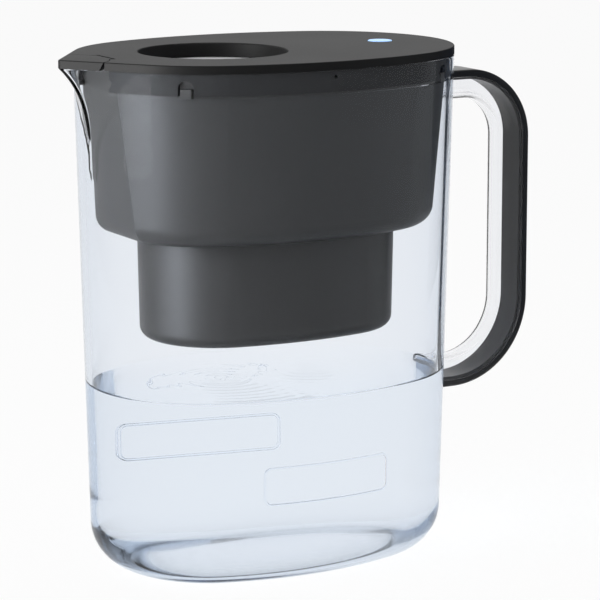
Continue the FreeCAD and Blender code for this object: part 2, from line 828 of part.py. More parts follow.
hopper_outer = hopper_form("hopper_outer", dim(0), bowl_z, hopper_top, bowl_round,
                           socket_z, socket_round, dim(0))
hopper_inner = hopper_form("hopper_inner", hopper_wall, bowl_floor_z, hopper_top + lap,
                           bowl_round - hopper_wall, socket_floor_z, socket_round - socket_wall, socket_wall)


# A straight bar through the jug's axis, turned about it
def turned_bar(name, points, radii, role, axis, angle, length, offset=None):
    body = new_body(name)
    sketch = new_sketch(body, role, offset)
    sketch.AttachmentOffset = FreeCAD.Placement(vec(0, 0, 0), FreeCAD.Rotation(axis, angle.value))
    sketch.setExpression("AttachmentOffset.Rotation.Angle", angle.text)
    draw_path(sketch, points, radii, True)
    pad(body, sketch, length, both=offset is None)
    return body


lug_z = ledge_z + seat_gap
lug_ring = new_body("lug_ring")
sketch = new_sketch(lug_ring, "XY_Plane", lug_z)
draw_oval(sketch, rim_oval.inset(rim_wall + skirt_gap))
pad(lug_ring, sketch, lug_height)
lug_half = lug_width / 2
lug_points = [(-half_length, -lug_half), (half_length, -lug_half),
              (half_length, lug_half), (-half_length, lug_half)]
upright = vec(0, 0, 1)
lug_bars = [turned_bar("lug_bar", lug_points, [None] * 4, "XY_Plane", upright, angle, lug_height, lug_z)
            for angle in (lug_angle, -lug_angle)]
lugs = common("hopper_lugs", [lug_ring, fuse("lug_cross", lug_bars)])
outlets = [solid("Cylinder", "outlet", {"Radius": outlet_radius, "Height": socket_floor + lap * 2},
                 place, 0, socket_z - lap) for place in (outlet_offset, -outlet_offset)]
hopper_mass = fuse("hopper_mass", [hopper_outer, lugs])
hopper = node(cut("hopper", hopper_mass, fuse("hopper_space", [hopper_inner] + outlets)), "hopper")

# Filter cartridge: a drafted cup with a flange on a seal, two carbon blocks and a slotted cap
seal_z = bowl_floor_z + seat_gap
flange_z = seal_z + seal_thickness
flange_top = flange_z + flange_thickness
cup_z = socket_floor_z + cartridge_foot_gap
cup_floor = cup_z + cartridge_floor
flange_oval = socket_oval.inset(-flange_width)

cup_outer = new_body("cup_outer")
sketch = new_sketch(cup_outer, "XY_Plane", flange_z)
draw_oval(sketch, flange_oval)
pad(cup_outer, sketch, flange_thickness)
sketch = new_sketch(cup_outer, "XY_Plane", flange_z + flange_thickness / 2)
draw_oval(sketch, socket_oval.inset(cup_skin))
pad(cup_outer, sketch, flange_z + flange_thickness / 2 - cup_z, socket_taper, down=True)
fillet(cup_outer, cup_z, socket_round - socket_wall)
cup_inner = new_body("cup_inner")
sketch = new_sketch(cup_inner, "XY_Plane", flange_top + lap)
draw_oval(sketch, socket_oval.inset(cup_skin + cartridge_wall))
pad(cup_inner, sketch, flange_top + lap - cup_floor, socket_taper, down=True)
spigot_radius = outlet_radius - spigot_gap
spigots = []
bores = []
for place in (outlet_offset, -outlet_offset):
    tube = {"Radius": spigot_radius, "Height": spigot_length + cartridge_floor / 2}
    spigots.append(solid("Cylinder", "spigot", tube, place, 0, cup_z - spigot_length))
    tube = {"Radius": spigot_radius - spigot_wall, "Height": spigot_length + cartridge_floor + lap * 2}
    bores.append(solid("Cylinder", "spigot_bore", tube, place, 0, cup_z - spigot_length - lap))
cup_mass = fuse("cup_mass", [cup_outer] + spigots)
cup_space = fuse("cup_space", [cup_inner] + bores)
housing = node(cut("cartridge_housing", cup_mass, cup_space), "cartridge_housing")

seal = new_body("cartridge_seal")
sketch = new_sketch(seal, "XY_Plane", seal_z)
draw_oval(sketch, flange_oval.inset(seal_inset))
draw_oval(sketch, socket_oval.inset(-seal_inset))
pad(seal, sketch, seal_thickness)
node(seal, "cartridge_seal")

block_z = cup_floor + end_cap_thickness
block_top = block_z + block_height
blocks = []
end_caps = []
screens = []
for place in (outlet_offset, -outlet_offset):
    outside = solid("Cylinder", "block_outside", {"Radius": block_radius, "Height": block_height},
                    place, 0, block_z)
    bore = solid("Cylinder", "block_bore_cut", {"Radius": block_bore, "Height": block_height + lap * 2},
                 place, 0, block_z - lap)
    blocks.append(cut("carbon_block", outside, bore))
    disc = {"Radius": end_cap_radius, "Height": end_cap_thickness}
    low_disc = solid("Cylinder", "low_cap", disc, place, 0, cup_floor)
    hole = solid("Cylinder", "low_cap_hole", {"Radius": end_cap_hole, "Height": end_cap_thickness + lap * 2},
                 place, 0, cup_floor - lap)
    end_caps.append(cut("low_end_cap", low_disc, hole))
    end_caps.append(solid("Cylinder", "top_end_cap", disc, place, 0, block_top))
    mesh = {"Radius": end_cap_hole - screen_gap, "Height": screen_thickness}
    screens.append(solid("Cylinder", "screen", mesh, place, 0, cup_floor))
node(fuse("carbon_blocks", blocks), "carbon_blocks")
node(fuse("block_end_caps", end_caps), "block_end_caps")
node(fuse("outlet_screens", screens), "outlet_screens")

dome_oval = flange_oval.inset(dome_inset)
dome_slope = slope(-dome_draw, dome_height)
dome_top = flange_top + dome_height
cap = new_body("cap_form")
sketch = new_sketch(cap, "XY_Plane", flange_top)
draw_oval(sketch, dome_oval)
pad(cap, sketch, dome_height, dome_slope)
grip = new_sketch(cap, "XZ_Plane")
bar_half = bar_length / 2
bar_side = bar_half - bar_thickness
bar_low = dome_top - dome_wall / 2
bar_top = dome_top + bar_height
bar_points = [(-bar_half, bar_low), (-bar_half, bar_top), (bar_half, bar_top), (bar_half, bar_low)]
bar_points += [(bar_side, bar_low), (bar_side, bar_top - bar_thickness)]
bar_points += [(-bar_side, bar_top - bar_thickness), (-bar_side, bar_low)]
bar_radii = [None, bar_thickness, bar_thickness, None, None, None, None, None]
draw_path(grip, bar_points, bar_radii, True)
pad(cap, grip, bar_width, both=True)
slots = new_sketch(cap, "XY_Plane", dome_top + lap)
slot_start = bar_half + slot_bar_gap
slot_run = dome_oval.length - dome_draw - slot_margin - slot_start
for step in range(4):
    for turn in (1, -1):
        middle = (slot_start + slot_run * step / 3) * turn
        draw_box(slots, middle - slot_width / 2, middle + slot_width / 2, -slot_length / 2, slot_length / 2)
pocket(cap, slots, lap + dome_height)
cap_space = new_body("cap_space")
sketch = new_sketch(cap_space, "XY_Plane", flange_top - lap)
draw_oval(sketch, dome_oval.inset(dome_wall - dome_draw * lap / dome_height))
pad(cap_space, sketch, dome_height - dome_wall + lap, dome_slope)
node(cut("cartridge_cap", cap, cap_space), "cartridge_cap")

# Lid: plate with the nose, skirt, collar of the fill hole, hinge lugs and bosses
fill_x = -fill_offset
lid_blank = new_body("lid_blank")
sketch = new_sketch(lid_blank, "XY_Plane", lid_z)
draw_teardrop(sketch, rim_oval, spout_reach, spout_tip)
pad(lid_blank, sketch, lid_plate)
sketch = new_sketch(lid_blank, "XY_Plane", lid_top)
draw_circle(sketch, fill_x, 0, fill_radius)
pocket(lid_blank, sketch, lid_plate)
fillet(lid_blank, lid_top, edge_round)

skirt_z = lid_z - skirt_drop
skirt_ring = new_body("skirt_ring")
sketch = new_sketch(skirt_ring, "XY_Plane", skirt_z)
draw_oval(sketch, rim_oval.inset(rim_wall + skirt_gap))
draw_oval(sketch, rim_oval.inset(rim_wall + skirt_gap + skirt_wall))
pad(skirt_ring, sketch, skirt_drop + lap)
notch_half = notch_width / 2
notch_points = [(-notch_half, skirt_z - lap), (notch_half, skirt_z - lap),
                (notch_half, skirt_z + notch_height), (-notch_half, skirt_z + notch_height)]
notch_radii = [None, None, notch_round, notch_round]
level = vec(0, 1, 0)
skirt_cuts = [turned_bar("notch_bar", notch_points, notch_radii, "YZ_Plane", level, angle, half_length * 2)
              for angle in (lug_angle, -lug_angle)]
window_half = pour_window / 2
skirt_cuts.append(block("pour_gate", end_radius, pour_window, skirt_drop + lap,
                        -half_length, -window_half, skirt_z - lap))
skirt_cuts.append(cross_bar("vents", vent_radius, half_width, 0, lid_z - vent_drop))
for place in (window_half, -window_half):
    hole = {"Radius": snap_radius, "Height": end_radius}
    skirt_cuts.append(solid("Cylinder", "snap", hole, -half_length, place, lid_z - snap_drop, along_x))
skirt = cut("skirt", skirt_ring, fuse("skirt_cuts", skirt_cuts))
collar = solid("Cylinder", "collar", {"Radius": fill_radius + collar_wall, "Height": collar_drop + lap},
               fill_x, 0, lid_z - collar_drop)

disc_radius = fill_radius + disc_lap
disc_top = lid_z - collar_drop - disc_gap
hinge_x = fill_x + disc_radius + fill_hinge_offset
hinge_z = disc_top - disc_thickness / 2
knuckle_end = knuckle_start + knuckle_width
lug_start = knuckle_end + lug_side_gap
lug_end = lug_start + hinge_lug_width
lid_lugs = []
for turn in (1, -1):
    edge = lug_start if turn > 0 else -lug_end
    lid_lugs.append(block("hinge_lug", knuckle_radius * 2, hinge_lug_width, lid_z + lap - hinge_z,
                          hinge_x - knuckle_radius, edge, hinge_z))
    barrel = {"Radius": knuckle_radius, "Height": hinge_lug_width}
    lid_lugs.append(solid("Cylinder", "hinge_eye", barrel, hinge_x, edge, hinge_z, along_y))

case_bore = cell_radius + cell_room
case_inner = case_bore + case_ledge
case_radius = case_inner + case_wall
ear_reach = case_radius + boss_radius + boss_gap
ear_top = lid_z - ear_drop
ear_z = ear_top - ear_height
ear_places = []
for step in range(3):
    angle = ear_turn + step * 120
    ear_places.append((ear_reach * cosine(angle), ear_reach * sine(angle)))
bosses = []
pilots = []
for x, y in ear_places:
    bosses.append(solid("Cylinder", "boss", {"Radius": boss_radius, "Height": ear_drop + lap},
                        indicator_offset + x, y, ear_top))
    pilots.append(solid("Cylinder", "pilot", {"Radius": screw_radius + pin_gap, "Height": screw_bite + lap},
                        indicator_offset + x, y, ear_top - lap / 2))

flap_mid = lid_z + lid_plate / 2
barrel_radius = lid_plate / 2
pin_half = barrel_half + barrel_end_gap + spout_pin_grip
relief_half = barrel_half + barrel_end_gap
lid_cuts = list(pilots)
lid_cuts.append(solid("Cylinder", "fill_hole", {"Radius": fill_radius, "Height": collar_drop + lap * 2},
                      fill_x, 0, lid_z - collar_drop - lap))
lid_cuts.append(solid("Cylinder", "button_hole",
                      {"Radius": button_radius + button_gap, "Height": lid_plate + lap * 2},
                      indicator_offset, 0, lid_z - lap))
lid_cuts.append(solid("Cylinder", "flap_window",
                      {"Radius": flap_arc + flap_gap, "Height": lid_plate + lap + seat_gap},
                      -flap_line - flap_arc, 0, lid_z - seat_gap))
lid_cuts.append(cross_bar("barrel_relief", barrel_radius + barrel_gap, relief_half, -flap_line, flap_mid))
lid_cuts.append(block("web_relief", web_length, relief_half * 2, lid_plate + lap + seat_gap,
                      -flap_line - web_length, -relief_half, lid_z - seat_gap))
lid_cuts.append(cross_bar("spout_pin_bore", spout_pin_radius + pin_gap, pin_half, -flap_line, flap_mid))
lid_cuts.append(cross_bar("fill_pin_bore", fill_pin_radius + pin_gap, lug_end + lap, hinge_x, hinge_z))
lid_mass = fuse("lid_mass", [lid_blank, skirt, collar] + lid_lugs + bosses)
lid = node(cut("lid", lid_mass, fuse("lid_cuts", lid_cuts)), "lid")

# Spout flap: the nose inside the arc, undercut so that it lifts clear, with its barrel on the pin
flap_cone = solid("Cone", "flap_cone",
                  {"Radius1": flap_arc - flap_undercut, "Radius2": flap_arc, "Height": lid_plate},
                  -flap_line - flap_arc, 0, lid_z)
flap_plate = common("flap_plate", [lid_blank, flap_cone])
flap_web = block("flap_web", web_length, barrel_half * 2, lid_plate,
                 -flap_line - web_length, -barrel_half, lid_z)
flap_barrel = cross_bar("flap_barrel", barrel_radius, barrel_half, -flap_line, flap_mid)
flap_bore = cross_bar("flap_bore", spout_pin_radius + pin_gap, barrel_half + lap, -flap_line, flap_mid)
flap_mass = fuse("flap_mass", [flap_plate, flap_web, flap_barrel])
spout_flap = node(cut("spout_flap", flap_mass, flap_bore), "spout_flap")
node(cross_bar("spout_hinge_pin", spout_pin_radius, pin_half, -flap_line, flap_mid), "spout_hinge_pin")

# Fill flap: ribbed disc with two arms to the knuckles
disc = new_body("fill_disc", fill_x)
sketch = new_sketch(disc, "XY_Plane", disc_top)
draw_circle(sketch, 0, 0, disc_radius)
pad(disc, sketch, disc_thickness, down=True)
disc_low = disc_top - disc_thickness
sketch = new_sketch(disc, "XY_Plane", disc_low)
draw_circle(sketch, 0, 0, rib_radius)
draw_circle(sketch, 0, 0, rib_radius - disc_rib)
pad(disc, sketch, rib_height, down=True)
sketch = new_sketch(disc, "XY_Plane", disc_low)
rib_half = disc_rib / 2
draw_box(sketch, -rib_radius + rib_half, rib_radius - rib_half, -rib_half, rib_half)
pad(disc, sketch, rib_height, down=True)
sketch = new_sketch(disc, "XY_Plane", disc_low)
draw_box(sketch, -rib_half, rib_half, -rib_radius + rib_half, rib_radius - rib_half)
pad(disc, sketch, rib_height, down=True)
flap_arms = []
for turn in (1, -1):
    edge = knuckle_start if turn > 0 else -knuckle_end
    arm_start = fill_x + rib_radius
    flap_arms.append(block("flap_arm", hinge_x - arm_start, knuckle_width, disc_thickness,
                           arm_start, edge, disc_low))
    eye = {"Radius": knuckle_radius, "Height": knuckle_width}
    flap_arms.append(solid("Cylinder", "flap_eye", eye, hinge_x, edge, hinge_z, along_y))
fill_bore = cross_bar("fill_bore", fill_pin_radius + pin_gap, knuckle_end + lap, hinge_x, hinge_z)
fill_flap = node(cut("fill_flap", fuse("fill_mass", [disc] + flap_arms), fill_bore), "fill_flap")
node(cross_bar("fill_hinge_pin", fill_pin_radius, lug_end, hinge_x, hinge_z), "fill_hinge_pin")


# Torsion spring round the fill pin: a helix of biarcs, half a turn each, between two straight legs
def helix_point(angle):
    rise = coil_pitch.value * (angle + math.pi / 2) / (2 * math.pi)
    start = -coil_pitch.value * (coil_turns.value + 0.25) / 2
    x = hinge_x.value + coil_radius.value * math.cos(angle)
    z = hinge_z.value + coil_radius.value * math.sin(angle)
    return vec(x, start + rise, z)


def helix_tangent(angle):
    x = -coil_radius.value * math.sin(angle)
    z = coil_radius.value * math.cos(angle)
    return vec(x, coil_pitch.value / (2 * math.pi), z).normalize()


def tangent_arc(first, corner, second):
    middle = (first + second) * 0.5
    half = (second - first).Length / 2
    rise = (corner - middle).Length
    lean = math.atan2(rise, half)
    crest = middle + (corner - middle) * (half * math.tan(lean / 2) / rise)
    return Part.Arc(first, crest, second).toShape()


def biarc(start, end):
    first = helix_point(start)
    last = helix_point(end)
    leave = helix_tangent(start)
    arrive = helix_tangent(end)
    across = last - first
    both = leave + arrive
    open_angle = 2 * (1 - leave.dot(arrive))
    forward = across.dot(both)
    reach = (math.sqrt(forward ** 2 + open_angle * across.dot(across)) - forward) / open_angle
    corner = first + leave * reach
    other = last - arrive * reach
    joint = (corner + other) * 0.5
    return [tangent_arc(first, corner, joint), tangent_arc(joint, other, last)]


coil_start = -math.pi / 2
quarters = int(round(coil_turns.value * 4)) + 1
coil_end = coil_start + quarters * math.pi / 2
edges = []
first = helix_point(coil_start)
edges.append(Part.LineSegment(first - helix_tangent(coil_start) * spring_leg.value, first).toShape())
for step in range(quarters):
    angle = coil_start + step * math.pi / 2
    edges.extend(biarc(angle, angle + math.pi / 2))
last = helix_point(coil_end)
rise = lid_z.value - leg_gap.value - last.z
edges.append(Part.LineSegment(last, last + helix_tangent(coil_end) * rise).toShape())
path = Part.Wire(edges)
tail = edges[0].Vertexes[0].Point
ring = Part.Wire([Part.makeCircle(wire_radius.value, tail, helix_tangent(coil_start))])
fill_spring = doc.addObject("Part::Feature", "fill_spring")
fill_spring.Shape = path.makePipeShell([ring], True, False)
node(fill_spring, "fill_spring")

# The least gap of the wire to itself, measured between points more than half a turn apart on the path
spacing = wire_radius.value / 2
places = path.discretize(Distance=spacing)
apart = int(math.pi * coil_radius.value / spacing)
gaps = [(a - b).Length for k, a in enumerate(places) for b in places[k + apart:]]
print("spring gap to itself", round(min(gaps) - 2 * wire_radius.value, 3))

# Filter indicator
button_low = lid_z - button_gap - button_flange_thickness
flange_high = lid_z - button_gap
button_top = lid_top + button_rise
plunger_top = button_low - button_travel - press_gap
board_top = plunger_top - plunger_height - switch_height
board_z = board_top - board_thickness
cell_top = board_z - contact_thickness
cell_z = cell_top - cell_height
case_floor_z = cell_z - seat_gap
case_z = case_floor_z - case_floor
case_top = lid_z - case_seal_height

button = new_body("indicator_button", indicator_offset)
wide = button_radius + button_flange
revolve(button, [(0, button_low), (wide, button_low), (wide, flange_high), (button_radius, flange_high),
                 (button_radius, button_top), (0, button_top)])
fillet(button, button_top, button_round)
node(button, "indicator_button")

case = new_body("indicator_case", indicator_offset)
door_plug = cell_radius + door_clearance
mouth = door_plug + door_gap
revolve(case, [(mouth, case_z), (case_radius, case_z), (case_radius, case_top), (case_inner, case_top),
               (case_inner, board_z), (case_bore, board_z), (case_bore, case_floor_z),
               (mouth, case_floor_z)])
sketch = new_sketch(case, "XY_Plane", ear_z)
for x, y in ear_places:
    draw_circle(sketch, x, y, ear_radius)
pad(case, sketch, ear_height)
sketch = new_sketch(case, "XY_Plane", ear_z)
for x, y in ear_places:
    draw_circle(sketch, x, y, screw_radius + screw_gap)
pocket(case, sketch, ear_height, along=True)
node(case, "indicator_case")

case_seal = new_body("case_seal", indicator_offset)
sketch = new_sketch(case_seal, "XY_Plane", case_top)
draw_circle(sketch, 0, 0, case_radius - seal_margin)
draw_circle(sketch, 0, 0, case_inner + seal_margin)
pad(case_seal, sketch, case_seal_height)
node(case_seal, "case_seal")

screws = []
for x, y in ear_places:
    head = {"Radius": screw_head, "Height": screw_head_height}
    shank = {"Radius": screw_radius, "Height": ear_height + screw_bite - pin_gap + screw_head_height / 2}
    low = ear_z - screw_head_height
    middle = ear_z - screw_head_height / 2
    head_part = solid("Cylinder", "screw_head_part", head, indicator_offset + x, y, low)
    shank_part = solid("Cylinder", "screw_shank", shank, indicator_offset + x, y, middle)
    screws.append(fuse("case_screw", [head_part, shank_part]))
node(fuse("case_screws", screws), "case_screws")

board = new_body("circuit_board", indicator_offset)
sketch = new_sketch(board, "XY_Plane", board_z)
draw_circle(sketch, 0, 0, case_inner - board_gap)
pad(board, sketch, board_thickness)
node(board, "circuit_board")

switch = new_body("tact_switch", indicator_offset)
sketch = new_sketch(switch, "XY_Plane", board_top)
draw_box(sketch, -switch_side / 2, switch_side / 2, -switch_side / 2, switch_side / 2)
pad(switch, sketch, switch_height)
sketch = new_sketch(switch, "XY_Plane", board_top + switch_height)
draw_circle(sketch, 0, 0, plunger_radius)
pad(switch, sketch, plunger_height)
node(switch, "tact_switch")

leds = [block("led", led_width, led_length, led_height, indicator_offset + place - led_width / 2,
              -led_length / 2, board_top) for place in (led_offset, -led_offset)]
node(fuse("status_led", leds), "status_led")

contacts = new_body("cell_contacts", indicator_offset)
sketch = new_sketch(contacts, "XY_Plane", cell_top)
draw_circle(sketch, 0, 0, cell_radius - contact_inset)
draw_circle(sketch, 0, 0, contact_hole)
pad(contacts, sketch, contact_thickness)
node(contacts, "cell_contacts")

cell = new_body("coin_cell", indicator_offset)
rim = cell_radius - cell_step
revolve(cell, [(0, cell_z), (cell_radius, cell_z), (cell_radius, cell_top - cell_step_height),
               (rim, cell_top - cell_step_height), (rim, cell_top), (0, cell_top)])
node(cell, "coin_cell")

door = new_body("battery_door", indicator_offset)
door_high = case_z - door_seal_height
door_z = door_high - door_plate
door_wide = door_plug + door_lap
revolve(door, [(0, door_z), (door_wide, door_z), (door_wide, door_high), (door_plug, door_high),
               (door_plug, cell_z), (0, cell_z)])
sketch = new_sketch(door, "XY_Plane", door_z)
slot_half = coin_slot_length / 2
slot_side = coin_slot_width / 2
draw_box(sketch, -slot_half, slot_half, -slot_side, slot_side)
pocket(door, sketch, coin_slot_depth, along=True)
node(door, "battery_door")

door_seal = new_body("door_seal", indicator_offset)
sketch = new_sketch(door_seal, "XY_Plane", door_high)
draw_circle(sketch, 0, 0, door_wide - seal_margin)
draw_circle(sketch, 0, 0, mouth + seal_margin)
pad(door_seal, sketch, door_seal_height)
node(door_seal, "door_seal")

# Every object has to be sound before anything is written
doc.recompute()
for item in doc.Objects:
    if any(word in item.State for word in ("Invalid", "Error")):
        raise ValueError("failed object " + item.Name)
for item in nodes:
    if item.Shape.isNull() or not item.Shape.isValid() or not item.Shape.Solids:
        raise ValueError("bad shape " + item.Label)
os.makedirs("parts", exist_ok=True)
for item in nodes:
    item.Shape.exportStep("parts/%s.step" % item.Label)
    print(item.Label, len(item.Shape.Solids), round(item.Shape.Volume / 1000, 2))
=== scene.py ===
import bmesh
import bpy
import json
import math
import numpy as np
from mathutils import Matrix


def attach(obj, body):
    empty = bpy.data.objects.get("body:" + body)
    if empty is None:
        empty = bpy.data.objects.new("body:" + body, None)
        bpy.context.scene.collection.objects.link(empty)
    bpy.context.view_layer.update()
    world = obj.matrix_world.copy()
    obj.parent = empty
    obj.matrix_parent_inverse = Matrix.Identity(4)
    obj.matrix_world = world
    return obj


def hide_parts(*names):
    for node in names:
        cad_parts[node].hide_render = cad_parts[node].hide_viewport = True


# water filter pitcher: clear jug and handle, smoked hopper, satin lid, still water
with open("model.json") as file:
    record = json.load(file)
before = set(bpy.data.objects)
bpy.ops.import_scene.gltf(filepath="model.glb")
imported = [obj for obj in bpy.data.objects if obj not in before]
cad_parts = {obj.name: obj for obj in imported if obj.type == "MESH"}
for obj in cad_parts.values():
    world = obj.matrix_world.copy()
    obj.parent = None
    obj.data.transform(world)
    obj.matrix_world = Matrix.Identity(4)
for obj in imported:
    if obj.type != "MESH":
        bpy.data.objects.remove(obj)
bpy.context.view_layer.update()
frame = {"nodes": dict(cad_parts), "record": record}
nodes = frame["nodes"]
scene = bpy.context.scene
mm = 0.001
print("frame loaded,", len(nodes), "nodes")

# camera at the photograph's viewing angle; many bounces, because clear walls stand one behind the other
view = {"place": (-0.7341, -1.3317, 0.4312), "pitch": 79.0153, "turn": -29.5275, "lens": 178.301,
        "sensor": 36.0, "far": 20.0, "bounces": 32}
lens = bpy.data.cameras.new("photoCamera")
lens.lens = view["lens"]
lens.sensor_width = view["sensor"]
lens.clip_end = view["far"]
camera = bpy.data.objects.new("photoCamera", lens)
camera.location = view["place"]
camera.rotation_euler = (math.radians(view["pitch"]), 0.0, math.radians(view["turn"]))
scene.collection.objects.link(camera)
scene.camera = camera
scene.view_settings.view_transform = "Standard"
scene.cycles.max_bounces = view["bounces"]
scene.cycles.transmission_bounces = view["bounces"]
scene.cycles.transparent_max_bounces = view["bounces"]
print("camera set")


# a shader value: an operator on it adds a Math node, node() adds any other node
class Shade:
    # a value over this counts as yes
    switch = 0.5

    def __init__(self, tree, socket=None):
        self.tree = tree
        self.socket = socket

    # settings are set first, then the values or links of the sockets
    def node(self, kind, settings=None, sockets=None, out=0):
        made = self.tree.nodes.new(kind)
        for key, value in (settings or {}).items():
            setattr(made, key, value)
        for key, value in (sockets or {}).items():
            if isinstance(value, Shade):
                self.tree.links.new(value.socket, made.inputs[key])
            else:
                made.inputs[key].default_value = value
        return Shade(self.tree, made.outputs[out]) if made.outputs else made

    def reckon(self, operation, first, second):
        return self.node("ShaderNodeMath", {"operation": operation}, {0: first, 1: second})

    def __add__(self, other):
        return self.reckon("ADD", self, other)

    def __sub__(self, other):
        return self.reckon("SUBTRACT", self, other)

    def __rsub__(self, other):
        return self.reckon("SUBTRACT", other, self)

    def __mul__(self, other):
        return self.reckon("MULTIPLY", self, other)

    def __gt__(self, other):
        return self.reckon("GREATER_THAN", self, other)

    __radd__ = __add__
    __rmul__ = __mul__

    def noise(self, place, scale, detail):
        sockets = {"Vector": place, "Scale": scale, "Detail": detail}
        return self.node("ShaderNodeTexNoise", None, sockets, "Fac")

    # 6, 7 and 2 are the colour sockets of a Mix node
    def blend(self, share, first, second):
        tones = {0: share, 6: opaque(first), 7: opaque(second)}
        return self.node("ShaderNodeMix", {"data_type": "RGBA"}, tones, 2)

    def mixShader(self, share, first, second):
        return self.node("ShaderNodeMixShader", None, {0: share, 1: first, 2: second})

    def lightPath(self, name):
        return self.node("ShaderNodeLightPath", None, None, name)

    # yes on a ray that shows the white background: straight, mirrored or through, with no matt bounce before
    def showsBackground(self):
        seen = self.lightPath("Is Camera Ray") + self.lightPath("Is Glossy Ray")
        seen = seen + self.lightPath("Is Transmission Ray")
        bounced = self.lightPath("Diffuse Depth") > self.switch
        return (seen - bounced) > self.switch


def opaque(tone):
    return (*tone, 1.0)


def startMaterial(name):
    material = bpy.data.materials.new(name)
    material.use_nodes = True
    material.node_tree.nodes.clear()
    return material, Shade(material.node_tree)


def endMaterial(kit, surface, volume=None):
    sockets = {"Surface": surface}
    if volume is not None:
        sockets["Volume"] = volume
    kit.node("ShaderNodeOutputMaterial", None, sockets)


noiseMean = 0.5


# moulded plastic, rubber or metal: two tones in soft clouds, a fine grain and uneven gloss
def mouldedFinish(name, look):
    material, kit = startMaterial(name)
    place = kit.node("ShaderNodeTexCoord", None, None, "Object")
    cloud = kit.noise(place, look["cloud"], look["cloudDetail"])
    grain = kit.noise(place, look["grain"], look["grainDetail"])
    tone = kit.blend(cloud, look["dark"], look["light"])
    uneven = (cloud - noiseMean) * look["spread"] + (grain - noiseMean) * look["spread"]
    relief = {"Strength": look["relief"], "Distance": look["reliefDepth"], "Height": grain}
    sockets = {"Base Color": tone, "Roughness": uneven + look["rough"], "Metallic": look["metal"],
               "Normal": kit.node("ShaderNodeBump", None, relief), "Specular IOR Level": look["shine"]}
    if "glow" in look:
        sockets["Emission Color"] = kit.blend(cloud, *look["glow"])
        sockets["Emission Strength"] = look["glowStrength"]
    endMaterial(kit, kit.node("ShaderNodeBsdfPrincipled", None, sockets))
    return material


# clear plastic or water: refracting surface, colour taken up along the way through, lamp light passes
def clearFinish(name, look):
    material, kit = startMaterial(name)
    place = kit.node("ShaderNodeTexCoord", None, None, "Object")
    cloud = kit.noise(place, look["cloud"], look["cloudDetail"])
    relief = {"Strength": look["relief"], "Distance": look["reliefDepth"], "Height": cloud}
    sockets = {"Base Color": opaque(look["tint"]), "Roughness": cloud * look["spread"] + look["rough"],
               "Normal": kit.node("ShaderNodeBump", None, relief), "IOR": look["bend"],
               "Transmission Weight": 1.0, "Specular Tint": opaque(look["sheen"])}
    surface = kit.node("ShaderNodeBsdfPrincipled", None, sockets)
    through = kit.node("ShaderNodeBsdfTransparent", None, {"Color": opaque(look["shadow"])})
    mixed = kit.mixShader(kit.lightPath("Is Shadow Ray"), surface, through)
    taken = {"Color": opaque(look["depthTint"]), "Density": look["depth"]}
    endMaterial(kit, mixed, kit.node("ShaderNodeVolumeAbsorption", None, taken))
    return material


darkPlastic = {
    "dark": (0.024, 0.0235, 0.0227), "light": (0.03, 0.0294, 0.0285), "cloud": 18.0, "cloudDetail": 3.0,
    "grain": 900.0, "grainDetail": 2.0, "rough": 0.42, "spread": 0.06, "relief": 0.015, "reliefDepth": 0.0002,
    "shine": 0.5, "metal": 0.0,
}
looks = {
    "smokedPlastic": dict(darkPlastic, shine=0.24),
    "lidPlastic": dict(darkPlastic, dark=(0.019, 0.019, 0.0192), light=(0.024, 0.024, 0.0242), rough=0.48,
                       shine=0.06),
    "gripPlastic": dict(darkPlastic, dark=(0.015, 0.015, 0.0152), light=(0.02, 0.02, 0.0202), rough=0.3,
                        shine=0.25),
    "blackPlastic": dict(darkPlastic, dark=(0.012, 0.012, 0.012), light=(0.018, 0.018, 0.018)),
    "palePlastic": dict(darkPlastic, dark=(0.82, 0.83, 0.84), light=(0.88, 0.89, 0.9), rough=0.4, shine=0.04),
    "carbon": dict(darkPlastic, dark=(0.006, 0.006, 0.006), light=(0.03, 0.03, 0.03), cloud=900.0,
                   rough=0.85, relief=0.6),
    "sealRubber": dict(darkPlastic, dark=(0.2, 0.2, 0.205), light=(0.25, 0.25, 0.255), rough=0.7),
    "steel": dict(darkPlastic, dark=(0.55, 0.55, 0.56), light=(0.66, 0.66, 0.67), rough=0.28, metal=1.0),
    "boardMask": dict(darkPlastic, dark=(0.012, 0.1, 0.04), light=(0.016, 0.13, 0.05), rough=0.35),
    "contactMetal": dict(darkPlastic, dark=(0.6, 0.44, 0.18), light=(0.7, 0.52, 0.22), rough=0.3, metal=1.0),
    "cellMetal": dict(darkPlastic, dark=(0.6, 0.6, 0.61), light=(0.7, 0.7, 0.71), rough=0.22, metal=1.0),
    "ledLens": dict(darkPlastic, dark=(0.6, 0.72, 0.9), light=(0.7, 0.8, 0.95), rough=0.2,
                    glow=((0.2, 0.45, 1.0), (0.3, 0.55, 1.0)), glowStrength=1.0),
    "litLens": dict(darkPlastic, dark=(0.3, 0.5, 0.8), light=(0.36, 0.56, 0.86), rough=0.3, cloud=60.0,
                    glow=((0.22, 0.42, 0.72), (0.3, 0.52, 0.84)), glowStrength=0.75),
}
